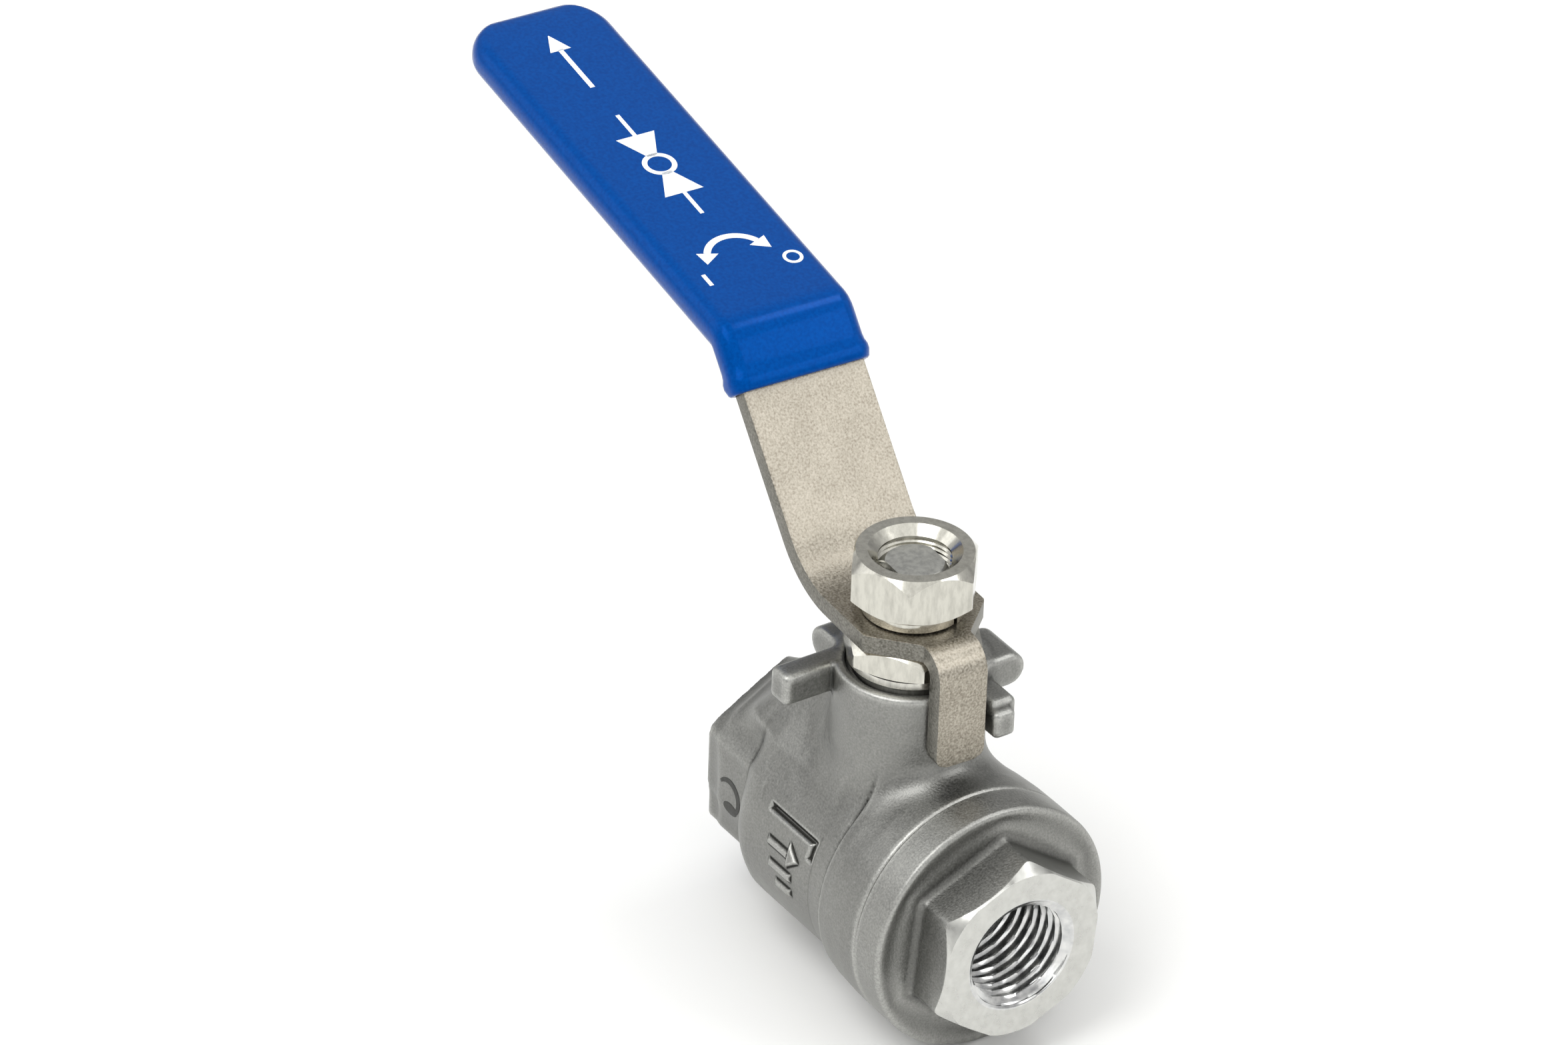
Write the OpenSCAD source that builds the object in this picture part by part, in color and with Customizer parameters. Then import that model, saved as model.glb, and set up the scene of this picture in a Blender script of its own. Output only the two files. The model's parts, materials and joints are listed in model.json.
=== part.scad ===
// Two-piece full-bore quarter-turn ball valve with female pipe threads and a cranked lever.
// Millimetres. The origin is the centre of the rear port face, +X runs along the pipe
// towards the end cap, and +Z runs up the stem.

/* [Pipe run] */
// Length over the two port faces
run_length = 46; // [46:0.5:60]
// Distance from the rear port face to the stem axis
stem_x = 23.2; // [23.2:0.1:26]
// Width across the flats of both hexagon ends
hex_width = 19.5; // [19:0.5:22]
// Bore radius of the two threaded ports, at the thread crests
port_r = 5.72; // [5.5:0.01:6.2]
// Depth of each threaded port
port_depth = 11; // [8:0.5:12]
// Radius of the flow way through seats and ball
way_r = 5.5; // [4:0.1:5.6]

/* [Body and cap] */
// Outer radius of the barrel behind the flange
barrel_r = 13.2; // [12.8:0.1:13.6]
// Outer radius of the flange and of the cap's collar
flange_r = 14.75; // [14.2:0.05:15.5]
// Joint plane between body and cap, measured from the stem axis
joint_x = 12.7; // [11.5:0.1:13.5]
// Thickness of the cap's collar
collar_t = 4.2; // [3:0.1:5]
// Radius of the thread that joins cap and body
joint_r = 11.2; // [10.8:0.1:11.6]
// Turn of the cap's hexagon where it tightens up
cap_turn = -5; // [-30:1:30]

/* [Neck] */
// Outer radius of the neck
neck_r = 8.35; // [8:0.05:8.4]
// Height of the neck's top above the pipe axis
neck_top = 25; // [24:0.1:26]
// Radius of the packing chamber
chamber_r = 6.2; // [5.5:0.1:6.5]
// Floor of the packing chamber above the pipe axis
chamber_z = 16.2; // [15.5:0.1:17]

/* [Ball and stem] */
// Radius of the ball
ball_r = 9; // [8.6:0.1:9.2]
// Radius of the stem and of its thread
stem_r = 4; // [3.5:0.05:4.2]
// Top of the stem above the pipe axis
stem_top = 37.4; // [36:0.1:38.5]
// Half the width over the stem's two flats
flat_half = 2.85; // [2.4:0.05:3.2]
// Rest turn of lever, stem and ball away from the open stop
rest_turn = 3; // [0:1:45]

/* [Lever] */
// Thickness of the lever plate
plate_t = 2.1; // [1.8:0.1:2.1]
// Half width of head and blade
blade_half = 7.5; // [6.5:0.1:8]
// Half width of the stop tab
tab_half = 3.1; // [2.5:0.1:3.15]
// Middle plane of the tab, measured from the stem axis
tab_x = 9.65; // [9.65:0.05:10.4]
// Lower end of the tab above the pipe axis
tab_z = 17.8; // [16.5:0.1:18.5]
// Middle plane of the lever's head above the pipe axis
head_z = 30.5; // [30.5:0.1:31]
// Angle of the blade above the horizontal
blade_angle = 48.6; // [40:0.2:55]
// Angle of the grip above the horizontal
grip_angle = 7.4; // [4:0.2:12]
// Reach of the bare plate behind the stem axis
plate_reach = 85; // [70:1:95]

/* [Sleeve] */
// Half thickness of the sleeve
sleeve_h = 2.1; // [1.9:0.05:2.4]
// Half width of the sleeve
sleeve_half = 8.5; // [8.3:0.05:9]
// Reach of the sleeve behind the stem axis
sleeve_reach = 86.5; // [86.4:0.1:88]

/* [Nuts] */
// Width across the flats of the handle nut
handle_nut_af = 13; // [12:0.5:14]
// Width across the flats of the gland nut
gland_nut_af = 14; // [13:0.5:15]

/* [Hidden] */
$fn = 96;
eps = 0.05;            // overlap used where one cut runs into the next
free = 0.05;           // running clearance between turning and fixed pieces

// Plan of the pipe run, measured from the stem axis
rear_x = -stem_x;
front_x = run_length - stem_x;
hex_r = hex_width / 2 / cos(30);
face_r = hex_width / 2 + 0.35;     // radius of the turned chamfer at a port face
chamfer_x = 2;                     // length of that chamfer along the pipe
cavity_r = ball_r + 0.8;
seat_r = 8.8;                      // radius of the two seat pockets
seat_back = 9.4;                   // back of each seat from the stem axis
seat_front = 5.6;                  // ball side of each seat from the stem axis
cap_end = 6.5;                     // inner end of the cap's threaded shank
hex_root = joint_x + collar_t;     // where the cap's hexagon starts

// Heights of the stem's stack above the pipe axis
pocket_r = stem_r + 1.1;           // pocket for the stem's collar
shoulder_z = 12.4;                 // shoulder that the thrust washer bears on
collar_z = 11.6;                   // top of the stem's collar
washer_gap = 0.05;
ring_step = 1.15;                  // pitch of the packing rings
vee_h = 0.8;                       // height of a packing ring's vee
gland_z = 21.25;                   // bottom of the gland ring
gland_top = neck_top + 0.25;
disc_t = 0.4;                      // thickness of a disc spring
disc_rise = 0.15;                  // dish of a disc spring
disc_r = 6.9;
gland_nut_z = gland_top + 2 * (disc_t + disc_rise) + washer_gap;
plate_z = head_z - plate_t / 2;    // underside of the lever's head
plate_top = head_z + plate_t / 2;
split_t = 2;                       // thickness of the spring washer
split_r = 6.45;
handle_nut_z = plate_top + split_t;
handle_nut_top = 38.85;

// Stops and ears round the neck
lug_t = 2.5;                       // thickness of a stop lug
lug_face = tab_half + 0.1;         // stop face, measured from the stem axis
closed_lug = [13.6, 21.1, neck_top];    // reach, underside, top
open_lug = [11.6, 19.8, 23.1];
ear_reach = 11.4;
ear_depth = 3.9;
ear_near = -1.2;                   // an ear runs from ear_near to ear_far across its reach
ear_far = 5.2;

// Middle line of the lever in the XZ plane, from tab to end, with a radius at each bend
tab_bend_r = 2.1;
neck_bend_r = 11;
grip_bend_r = 6;
blade_foot = -10.45;               // where blade and head would meet
grip_foot = -28.9;                 // where blade and grip would meet
sleeve_foot = -24.9;               // mouth of the sleeve on the blade
blade_rise = tan(blade_angle);
grip_z = head_z + (blade_foot - grip_foot) * blade_rise;
function on_grip(x) = [x, grip_z + (grip_foot - x) * tan(grip_angle)];
function on_blade(x) = [x, head_z + (blade_foot - x) * blade_rise];
lever_line = [
    [tab_x, tab_z], [tab_x, head_z], [blade_foot, head_z], [grip_foot, grip_z],
    on_grip(-plate_reach)
];
lever_bends = [0, tab_bend_r, neck_bend_r, grip_bend_r, 0];
sleeve_line = [on_blade(sleeve_foot), [grip_foot, grip_z], on_grip(-sleeve_reach)];
sleeve_bends = [0, grip_bend_r, 0];

// One side of a band of half width h round a bent line: straight runs joined by arcs
function heading(a, b) = (b - a) / norm(b - a);
function left_of(u) = [-u.y, u.x];
function bend_points(p, r, i, h, steps = 10) =
    let (
        u = heading(p[i - 1], p[i]),
        v = heading(p[i], p[i + 1]),
        turn = atan2(u.x * v.y - u.y * v.x, u * v),
        way = sign(turn),
        centre = p[i] - u * r[i] * tan(abs(turn) / 2) + way * r[i] * left_of(u),
        out = -way * left_of(u),
        start = atan2(out.y, out.x)
    )
    [for (k = [0:steps])
        let (a = start + turn * k / steps)
        centre + (r[i] - way * h) * [cos(a), sin(a)]];
function band_side(p, r, h) =
    let (last = len(p) - 1)
    [
        p[0] + h * left_of(heading(p[0], p[1])),
        each [for (i = [1:last - 1]) each bend_points(p, r, i, h)],
        p[last] + h * left_of(heading(p[last - 1], p[last]))
    ];
function backwards(list) = [for (i = [len(list) - 1:-1:0]) list[i]];

// Places a node that stays put, and one that turns with the stem
module fixed() {
    translate([stem_x, 0, 0]) children();
}
module turning() {
    translate([stem_x, 0, 0]) rotate([0, 0, -rest_turn]) children();
}

// Turns a shape made along Z so that it runs along X from x
module along_x(x = 0) {
    translate([x, 0, 0]) rotate([0, 90, 0]) children();
}
module lathe(points) {
    rotate_extrude() polygon(points);
}
module ring(inner, outer, low, high) {
    difference() {
        translate([0, 0, low]) cylinder(r = outer, h = high - low);
        translate([0, 0, low - 1]) cylinder(r = inner, h = high - low + 2);
    }
}
// Hexagon end from the root to the port face at length, with its turned chamfer
module hex_end(length) {
    intersection() {
        cylinder(r = hex_r, h = length, $fn = 6);
        lathe([[0, 0], [hex_r + 1, 0], [hex_r + 1, length - chamfer_x],
            [hex_r, length - chamfer_x], [face_r, length], [0, length]]);
    }
}
module hex_nut(width, low, high, bore) {
    corner = width / 2 / cos(30);
    slope = (corner - 0.45 * width) * tan(30);
    translate([0, 0, low]) difference() {
        intersection() {
            cylinder(r = corner, h = high - low, $fn = 6);
            lathe([[0, 0], [0.45 * width, 0], [corner, slope],
                [corner, high - low - slope], [0.45 * width, high - low], [0, high - low]]);
        }
        translate([0, 0, -1]) cylinder(r = bore, h = high - low + 2);
    }
}

// Ear with a flat top and a round nose that reaches out along +Y
module ear() {
    nose = ear_depth / 2;
    translate([ear_near, 0, neck_top - nose]) rotate([90, 0, 90])
        linear_extrude(ear_far - ear_near) union() {
            translate([ear_reach - nose, 0]) circle(r = nose, $fn = 48);
            translate([0, -nose]) square([ear_reach - nose, ear_depth]);
        }
}
module stop_lug(size) {
    translate([lug_face, 0, size[1]]) cube([lug_t, size[0], size[2] - size[1]]);
}
module body_shell() {
    foot_z = 11;
    rear_top = 10;
    along_x(-17) mirror([0, 0, 1]) hex_end(-17 - rear_x);
    along_x() lathe([[0, -18], [10.8, -18], [12.5, -14.6], [barrel_r, -11],
        [barrel_r, 2], [flange_r - 0.4, 5.5], [flange_r, 10], [flange_r, joint_x], [0, joint_x]]);
    cylinder(r = neck_r, h = neck_top);
    translate([0, 0, foot_z]) cylinder(r1 = neck_r + 2.6, r2 = neck_r, h = 4);
    // gusset from the neck down to the rear hexagon
    hull() {
        translate([-2, 0, foot_z]) cylinder(r = 6, h = 11, $fn = 32);
        translate([rear_x + 1.5, -2, rear_top - 2]) cube([2, 4, 2.2]);
        translate([-16, -6, rear_top - 4]) cube([2, 12, 2]);
    }
    ear();
    mirror([1, 1, 0]) ear();
    mirror([1, 0, 0]) mirror([0, 1, 0]) stop_lug(closed_lug);
    mirror([1, -1, 0]) stop_lug(open_lug);
}
module body() {
    color("#9b9b9a") fixed() difference() {
        body_shell();
        along_x(rear_x - 1) cylinder(r = port_r, h = port_depth + 1);
        along_x(rear_x + port_depth - eps) cylinder(r = way_r, h = 10);
        along_x(-seat_back) cylinder(r = seat_r, h = seat_back);
        along_x(-seat_front) cylinder(r = cavity_r, h = 2 * seat_front);
        along_x(seat_front - 0.2) cylinder(r = joint_r, h = joint_x);
        cylinder(r = pocket_r, h = shoulder_z);
        cylinder(r = stem_r + free, h = neck_top);
        translate([0, 0, chamber_z]) cylinder(r = chamber_r, h = neck_top);
        translate([0, 0, neck_top - 0.6]) cylinder(r = chamber_r + 0.8, h = 2);
    }
}
module end_cap() {
    color("#a2a2a0") fixed() difference() {
        union() {
            along_x() lathe([[0, cap_end], [joint_r - 0.02, cap_end], [joint_r - 0.02, joint_x],
                [flange_r, joint_x], [flange_r, hex_root - 0.8], [flange_r - 0.8, hex_root],
                [0, hex_root]]);
            rotate([cap_turn, 0, 0]) along_x(hex_root - eps) hex_end(front_x - hex_root + eps);
        }
        along_x(cap_end - 1) cylinder(r = seat_r, h = seat_back - cap_end + 1);
        along_x(cap_end) cylinder(r = way_r, h = front_x - cap_end - port_depth + eps);
        along_x(front_x - port_depth) cylinder(r = port_r, h = port_depth + 1);
    }
}
module seat() {
    difference() {
        along_x(seat_front) ring(way_r + 0.1, seat_r - 0.02, 0, seat_back - seat_front - 0.02);
        sphere(r = ball_r + free);
    }
}
module rear_seat() {
    color("white") fixed() mirror([1, 0, 0]) seat();
}
module front_seat() {
    color("white") fixed() seat();
}
module body_gasket() {
    color("white") fixed() along_x() ring(cavity_r + 0.1, joint_r - 0.05, seat_front - 0.15, cap_end - 0.05);
}
module ball() {
    slot = [4, 20, 4];
    color("#c9ccd0") turning() difference() {
        sphere(r = ball_r);
        along_x(-ball_r - 1) cylinder(r = way_r, h = 2 * ball_r + 2);
        translate([-slot.x / 2, -slot.y / 2, 6.2]) cube(slot);
    }
}
module stem() {
    tang = [3.8, 9, 3.6];
    tang_z = 6.4;
    lathe_top = stem_top - 0.8;
    color("#b9bbbd") turning() difference() {
        union() {
            intersection() {
                translate([-tang.x / 2, -tang.y / 2, tang_z]) cube(tang);
                cylinder(r = pocket_r - 0.2, h = collar_z);
            }
            translate([0, 0, tang_z + tang.z - eps])
                cylinder(r = pocket_r - 0.2, h = collar_z - tang_z - tang.z + eps);
            lathe([[0, collar_z - eps], [stem_r, collar_z - eps], [stem_r, lathe_top],
                [stem_r - 0.8, stem_top], [0, stem_top]]);
        }
        // groove for the O-ring
        ring(stem_r - 0.96, stem_r + 1, 13.8, 15.1);
        for (s = [-1, 1])
            translate([-6, s * (flat_half + 3) - 3, neck_top + 1]) cube([12, 6, 20]);
    }
}
module thrust_washer() {
    color("white") fixed() ring(stem_r + free, pocket_r - 0.02, collar_z + free, shoulder_z);
}
module stem_o_ring() {
    color("#202020") turning() translate([0, 0, 14.45]) rotate_extrude()
        translate([stem_r - 0.46, 0]) circle(r = 0.48, $fn = 32);
}
// Section of one packing ring from its lower to its upper face, each flat or vee shaped
module packing(low, high, vee_low, vee_high) {
    inner = stem_r + free;
    outer = chamber_r - 0.02;
    middle = (inner + outer) / 2;
    lathe([[inner, low], [middle, low + vee_low], [outer, low],
        [outer, high], [middle, high + vee_high], [inner, high]]);
}
module packing_base_ring() {
    color("#e9e4d8") fixed() packing(chamber_z, chamber_z + 1, 0, vee_h);
}
module packing_lower_vee_ring() {
    color("#e9e4d8") fixed() packing(chamber_z + 1.04, chamber_z + 1 + ring_step, vee_h, vee_h);
}
module packing_upper_vee_ring() {
    low = chamber_z + 1.04 + ring_step;
    color("#e9e4d8") fixed() packing(low, low + ring_step - 0.04, vee_h, vee_h);
}
module packing_top_ring() {
    color("#e9e4d8") fixed() packing(chamber_z + 1.04 + 2 * ring_step, gland_z - 0.04, vee_h, 0);
}
module gland_ring() {
    color("#b9bbbd") fixed() ring(stem_r + free, chamber_r - free, gland_z, gland_top);
}
module lower_disc_spring() {
    low = gland_top + washer_gap;
    inner = stem_r + 0.3;
    color("#8d8f92") turning() lathe([[inner, low], [disc_r, low + disc_rise],
        [disc_r, low + disc_rise + disc_t], [inner, low + disc_t]]);
}
module upper_disc_spring() {
    low = gland_top + washer_gap + disc_t + disc_rise;
    inner = stem_r + 0.3;
    color("#8d8f92") turning() lathe([[inner, low + disc_rise], [disc_r, low],
        [disc_r, low + disc_t], [inner, low + disc_t + disc_rise]]);
}
module gland_nut() {
    color("#d5d5d2") turning() rotate([0, 0, -21])
        hex_nut(gland_nut_af, gland_nut_z, plate_z, stem_r + 0.02);
}
// Solid band along a bent line in the XZ plane, wide enough for any plan to cut it
module band(line, bends, half) {
    rotate([90, 0, 0]) linear_extrude(2 * sleeve_half + 2, center = true)
        polygon([each band_side(line, bends, half), each backwards(band_side(line, bends, -half))]);
}
// Plan of a strip from x = near back to x = -reach, with round corners at its far end
module strip_plan(near, reach, half, corner) {
    linear_extrude(80) union() {
        translate([-reach + corner, -half]) square([near + reach - corner, 2 * half]);
        translate([-reach, corner - half]) square([corner + eps, 2 * (half - corner)]);
        for (s = [-1, 1])
            translate([corner - reach, s * (half - corner)]) circle(r = corner);
    }
}
module lever() {
    shoulder = [2.4, 6.9];         // where the head starts and ends its taper to the tab
    color("#b3aa9c") turning() difference() {
        intersection() {
            band(lever_line, lever_bends, plate_t / 2);
            union() {
                strip_plan(shoulder[0], plate_reach, blade_half, 5);
                linear_extrude(80) polygon([[shoulder[0] - eps, -blade_half],
                    [shoulder[0], -blade_half], [shoulder[1], -tab_half],
                    [tab_x + plate_t, -tab_half], [tab_x + plate_t, tab_half],
                    [shoulder[1], tab_half], [shoulder[0], blade_half],
                    [shoulder[0] - eps, blade_half]]);
            }
        }
        intersection() {
            cylinder(r = stem_r + 0.1, h = 60);
            translate([-6, -flat_half - 0.1, 0]) cube([12, 2 * flat_half + 0.2, 60]);
        }
    }
}
module lever_sleeve() {
    color("#0b55a8") turning() difference() {
        intersection() {
            band(sleeve_line, sleeve_bends, sleeve_h);
            strip_plan(0, sleeve_reach, sleeve_half, 6);
        }
        intersection() {
            band(lever_line, lever_bends, plate_t / 2);
            strip_plan(0, plate_reach, blade_half, 5);
        }
    }
}
module spring_washer() {
    color("#c2c2c0") turning() difference() {
        ring(stem_r + 0.15, split_r, plate_top, plate_top + split_t);
        translate([stem_r + 1.3, 0, plate_top + split_t / 2]) rotate([25, 0, 0])
            cube([4, 0.7, 6], center = true);
    }
}
module handle_nut() {
    color("#dddcd8") turning() rotate([0, 0, 24.5]) difference() {
        hex_nut(handle_nut_af, handle_nut_z, handle_nut_top, stem_r + 0.02);
        translate([0, 0, handle_nut_top - 1.5]) cylinder(r1 = stem_r - 0.3, r2 = stem_r + 0.65, h = 1.55);
    }
}

body();
end_cap();
rear_seat();
front_seat();
body_gasket();
ball();
stem();
thrust_washer();
stem_o_ring();
packing_base_ring();
packing_lower_vee_ring();
packing_upper_vee_ring();
packing_top_ring();
gland_ring();
lower_disc_spring();
upper_disc_spring();
gland_nut();
lever();
lever_sleeve();
spring_washer();
handle_nut();
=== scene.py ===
import json
import math
import bpy
import bmesh
import numpy as np
from mathutils import Matrix, Vector


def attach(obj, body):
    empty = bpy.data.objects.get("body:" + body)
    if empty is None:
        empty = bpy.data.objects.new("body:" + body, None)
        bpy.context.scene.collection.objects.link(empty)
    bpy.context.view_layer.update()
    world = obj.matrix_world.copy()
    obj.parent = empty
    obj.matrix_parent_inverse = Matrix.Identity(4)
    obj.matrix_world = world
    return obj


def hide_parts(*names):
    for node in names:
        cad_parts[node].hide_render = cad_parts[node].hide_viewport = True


# Quarter-turn ball valve. Shapes are worked out in millimetres round the ball's centre,
# +X towards the end cap and +Z up the stem, and moved into the frame in metres at the end.
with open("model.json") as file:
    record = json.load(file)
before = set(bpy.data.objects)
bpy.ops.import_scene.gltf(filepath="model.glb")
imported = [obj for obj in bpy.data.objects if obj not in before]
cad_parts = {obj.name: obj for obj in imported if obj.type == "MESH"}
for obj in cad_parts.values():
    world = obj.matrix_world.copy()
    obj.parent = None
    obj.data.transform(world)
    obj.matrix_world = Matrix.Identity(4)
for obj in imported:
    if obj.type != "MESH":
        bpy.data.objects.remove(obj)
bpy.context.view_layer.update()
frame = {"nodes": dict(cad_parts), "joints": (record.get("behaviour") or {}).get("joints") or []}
joint = next(j for j in frame["joints"] if j["name"] == "lever_turn")
ballCentre = np.array([joint["pos_m"][0], 0.0, 0.0])
mm = 0.001

valve = {
    "portFront": 22.8,      # front port face
    "portRear": -23.2,      # rear port face
    "portDepth": 11.0,
    "threadCrest": 5.72,    # G 1/4 female thread: crest and root radius, and pitch
    "threadRoot": 6.55,
    "pitch": 1.337,
    "mouth": 6.8,           # radius of the countersunk mouth, and its slope
    "mouthSlope": 1.7,
    "flats": 9.75,          # half the width over the flats of the hexagon ends
    "faceRadius": 9.95,     # turned circle on a port face
    "chamferWidth": 0.12,
    "chamferLength": (0.2, 1.25),    # at the middle of a flat and at a corner
    "jointX": 12.7,         # joint plane of body and cap
    "flange": 14.72,
    "restTurn": -3.0,       # turn of lever, stem and ball at rest, in degrees; 0 is the open stop
}


def hexToLinear(code):
    # sRGB hex to linear: c / 12.92 below 0.04045, else ((c + 0.055) / 1.055) to the power 2.4
    channels = [int(code[i:i + 2], 16) / 255 for i in (1, 3, 5)]
    return [c / 12.92 if c <= 0.04045 else ((c + 0.055) / 1.055) ** 2.4 for c in channels] + [1.0]


def smoothStep(value):
    # 3t^2 - 2t^3 on t clipped to 0..1
    t = np.clip(value, 0, 1)
    return t * t * (3 - 2 * t)


def turnZ(points, degrees):
    # the plane rotation of x and y about the stem axis
    a = math.radians(degrees)
    x, y, z = points[..., 0], points[..., 1], points[..., 2]
    return np.stack([x * math.cos(a) - y * math.sin(a), x * math.sin(a) + y * math.cos(a), z], -1)


def gridFaces(rows, cols, wrapRows=False, wrapCols=False, flip=False):
    # quads (i, j), (i, j+1), (i+1, j+1), (i+1, j), with either way closed on itself
    i, j = np.meshgrid(np.arange(rows - (not wrapRows)), np.arange(cols - (not wrapCols)), indexing="ij")
    i2, j2 = (i + 1) % rows, (j + 1) % cols
    quads = np.stack([i * cols + j, i * cols + j2, i2 * cols + j2, i2 * cols + j], -1).reshape(-1, 4)
    return quads[:, ::-1] if flip else quads


def makePiece(name, points, quads, body, material, replaced=(), sharp=None, weld=True, outward=True):
    # points in millimetres round the ball's centre; quads index into them
    mesh = bpy.data.meshes.new(name)
    verts = np.asarray(points, np.float64).reshape(-1, 3) * mm + ballCentre
    quads = np.ascontiguousarray(quads, np.int32)
    mesh.vertices.add(len(verts))
    mesh.vertices.foreach_set("co", verts.astype(np.float32).ravel())
    mesh.loops.add(quads.size)
    mesh.loops.foreach_set("vertex_index", quads.ravel())
    mesh.polygons.add(len(quads))
    mesh.polygons.foreach_set("loop_start", np.arange(0, quads.size, quads.shape[1], dtype=np.int32))
    mesh.update(calc_edges=True)
    mesh.validate()
    if weld:
        work = bmesh.new()
        work.from_mesh(mesh)
        bmesh.ops.remove_doubles(work, verts=work.verts, dist=2e-7)
        bmesh.ops.dissolve_degenerate(work, edges=work.edges, dist=1e-8)
        if outward:
            bmesh.ops.recalc_face_normals(work, faces=work.faces)
        work.to_mesh(mesh)
        work.free()
    mesh.polygons.foreach_set("use_smooth", np.ones(len(mesh.polygons), bool))
    if sharp:
        mesh.set_sharp_from_angle(angle=math.radians(sharp))
    mesh.materials.append(material)
    piece = bpy.data.objects.new(name, mesh)
    bpy.context.scene.collection.objects.link(piece)
    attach(piece, body)
    if replaced:
        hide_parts(*replaced)
    print("made", name, len(mesh.polygons), "faces")
    return piece


def markCreases(piece):
    # float attribute "crease", in 1/mm: how far a point stands out of its neighbours' mean along
    # its normal, over the squared mean length of its edges; above 0 on ridges, below in valleys
    mesh = piece.data
    points = np.empty(len(mesh.vertices) * 3)
    mesh.vertices.foreach_get("co", points)
    normals = np.empty(len(mesh.vertices) * 3)
    mesh.vertex_normals.foreach_get("vector", normals)
    edges = np.empty(len(mesh.edges) * 2, np.int32)
    mesh.edges.foreach_get("vertices", edges)
    points, normals, edges = points.reshape(-1, 3), normals.reshape(-1, 3), edges.reshape(-1, 2)
    both = np.concatenate([edges, edges[:, ::-1]])
    here, there = both[:, 0], both[:, 1]
    size = len(points)
    count = np.maximum(np.bincount(here, minlength=size), 1)
    away = points[here] - points[there]
    length = np.bincount(here, np.linalg.norm(away, axis=1), size) / count
    stand = np.bincount(here, (away * normals[here]).sum(1), size) / count
    crease = stand / np.maximum(length, 1e-9) ** 2 * mm
    for _ in range(2):
        crease = crease * 0.5 + 0.5 * np.bincount(here, crease[there], size) / count
    # the casting's material reads this to darken valleys and lighten ridges: painted shade and painted
    # highlight, partly grime and rubbed wear
    layer = mesh.attributes.new("crease", "FLOAT", "POINT")
    layer.data.foreach_set("value", crease.astype(np.float32))


def roundEnd(half, corner, left):
    # half width of a bar with a rounded end: short of the end by less than the corner's radius,
    # it follows the corner's circle
    return half - corner + np.sqrt(np.maximum(corner ** 2 - np.maximum(corner - left, 0) ** 2, 0))


def solidify(piece, thickness, bevel=0.0, offset=0.0, rimSlot=0):
    # a wall of even thickness on the sheet, its edges rounded when there is a bevel
    wall = piece.modifiers.new("wall", "SOLIDIFY")
    wall.thickness = thickness * mm
    wall.offset = offset
    wall.use_even_offset = True
    wall.material_offset_rim = rimSlot
    if bevel:
        edge = piece.modifiers.new("edge", "BEVEL")
        edge.width = bevel * mm
        edge.segments = 3
        edge.limit_method = "ANGLE"
        edge.angle_limit = math.radians(40)


def newMaterial(name):
    # an empty procedural material, its node tree, its shader, and the piece's own coordinates
    material = bpy.data.materials.new(name)
    material.use_nodes = True
    tree = material.node_tree
    place = (addNode(tree, "ShaderNodeTexCoord"), "Object")
    return material, tree, tree.nodes["Principled BSDF"], place


def setInputs(tree, node, inputs):
    # each input gets a value, or a (node, output) to link from
    for key, value in inputs.items():
        if isinstance(value, tuple) and hasattr(value[0], "outputs"):
            tree.links.new(value[0].outputs[value[1]], node.inputs[key])
        else:
            node.inputs[key].default_value = value


def addNode(tree, kind, settings=None, inputs=None, stops=()):
    # one node, its properties and its inputs; stops are a colour ramp's (position, hex) pairs
    node = tree.nodes.new(kind)
    for key, value in (settings or {}).items():
        setattr(node, key, value)
    for _ in stops[2:]:
        node.color_ramp.elements.new(0.5)
    for i, (place, code) in enumerate(stops):
        node.color_ramp.elements[i].position = place
        node.color_ramp.elements[i].color = hexToLinear(code)
    setInputs(tree, node, inputs or {})
    return node


def every(size):
    # scale of a noise whose grains are this many millimetres apart
    return 1 / (size * mm)


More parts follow.
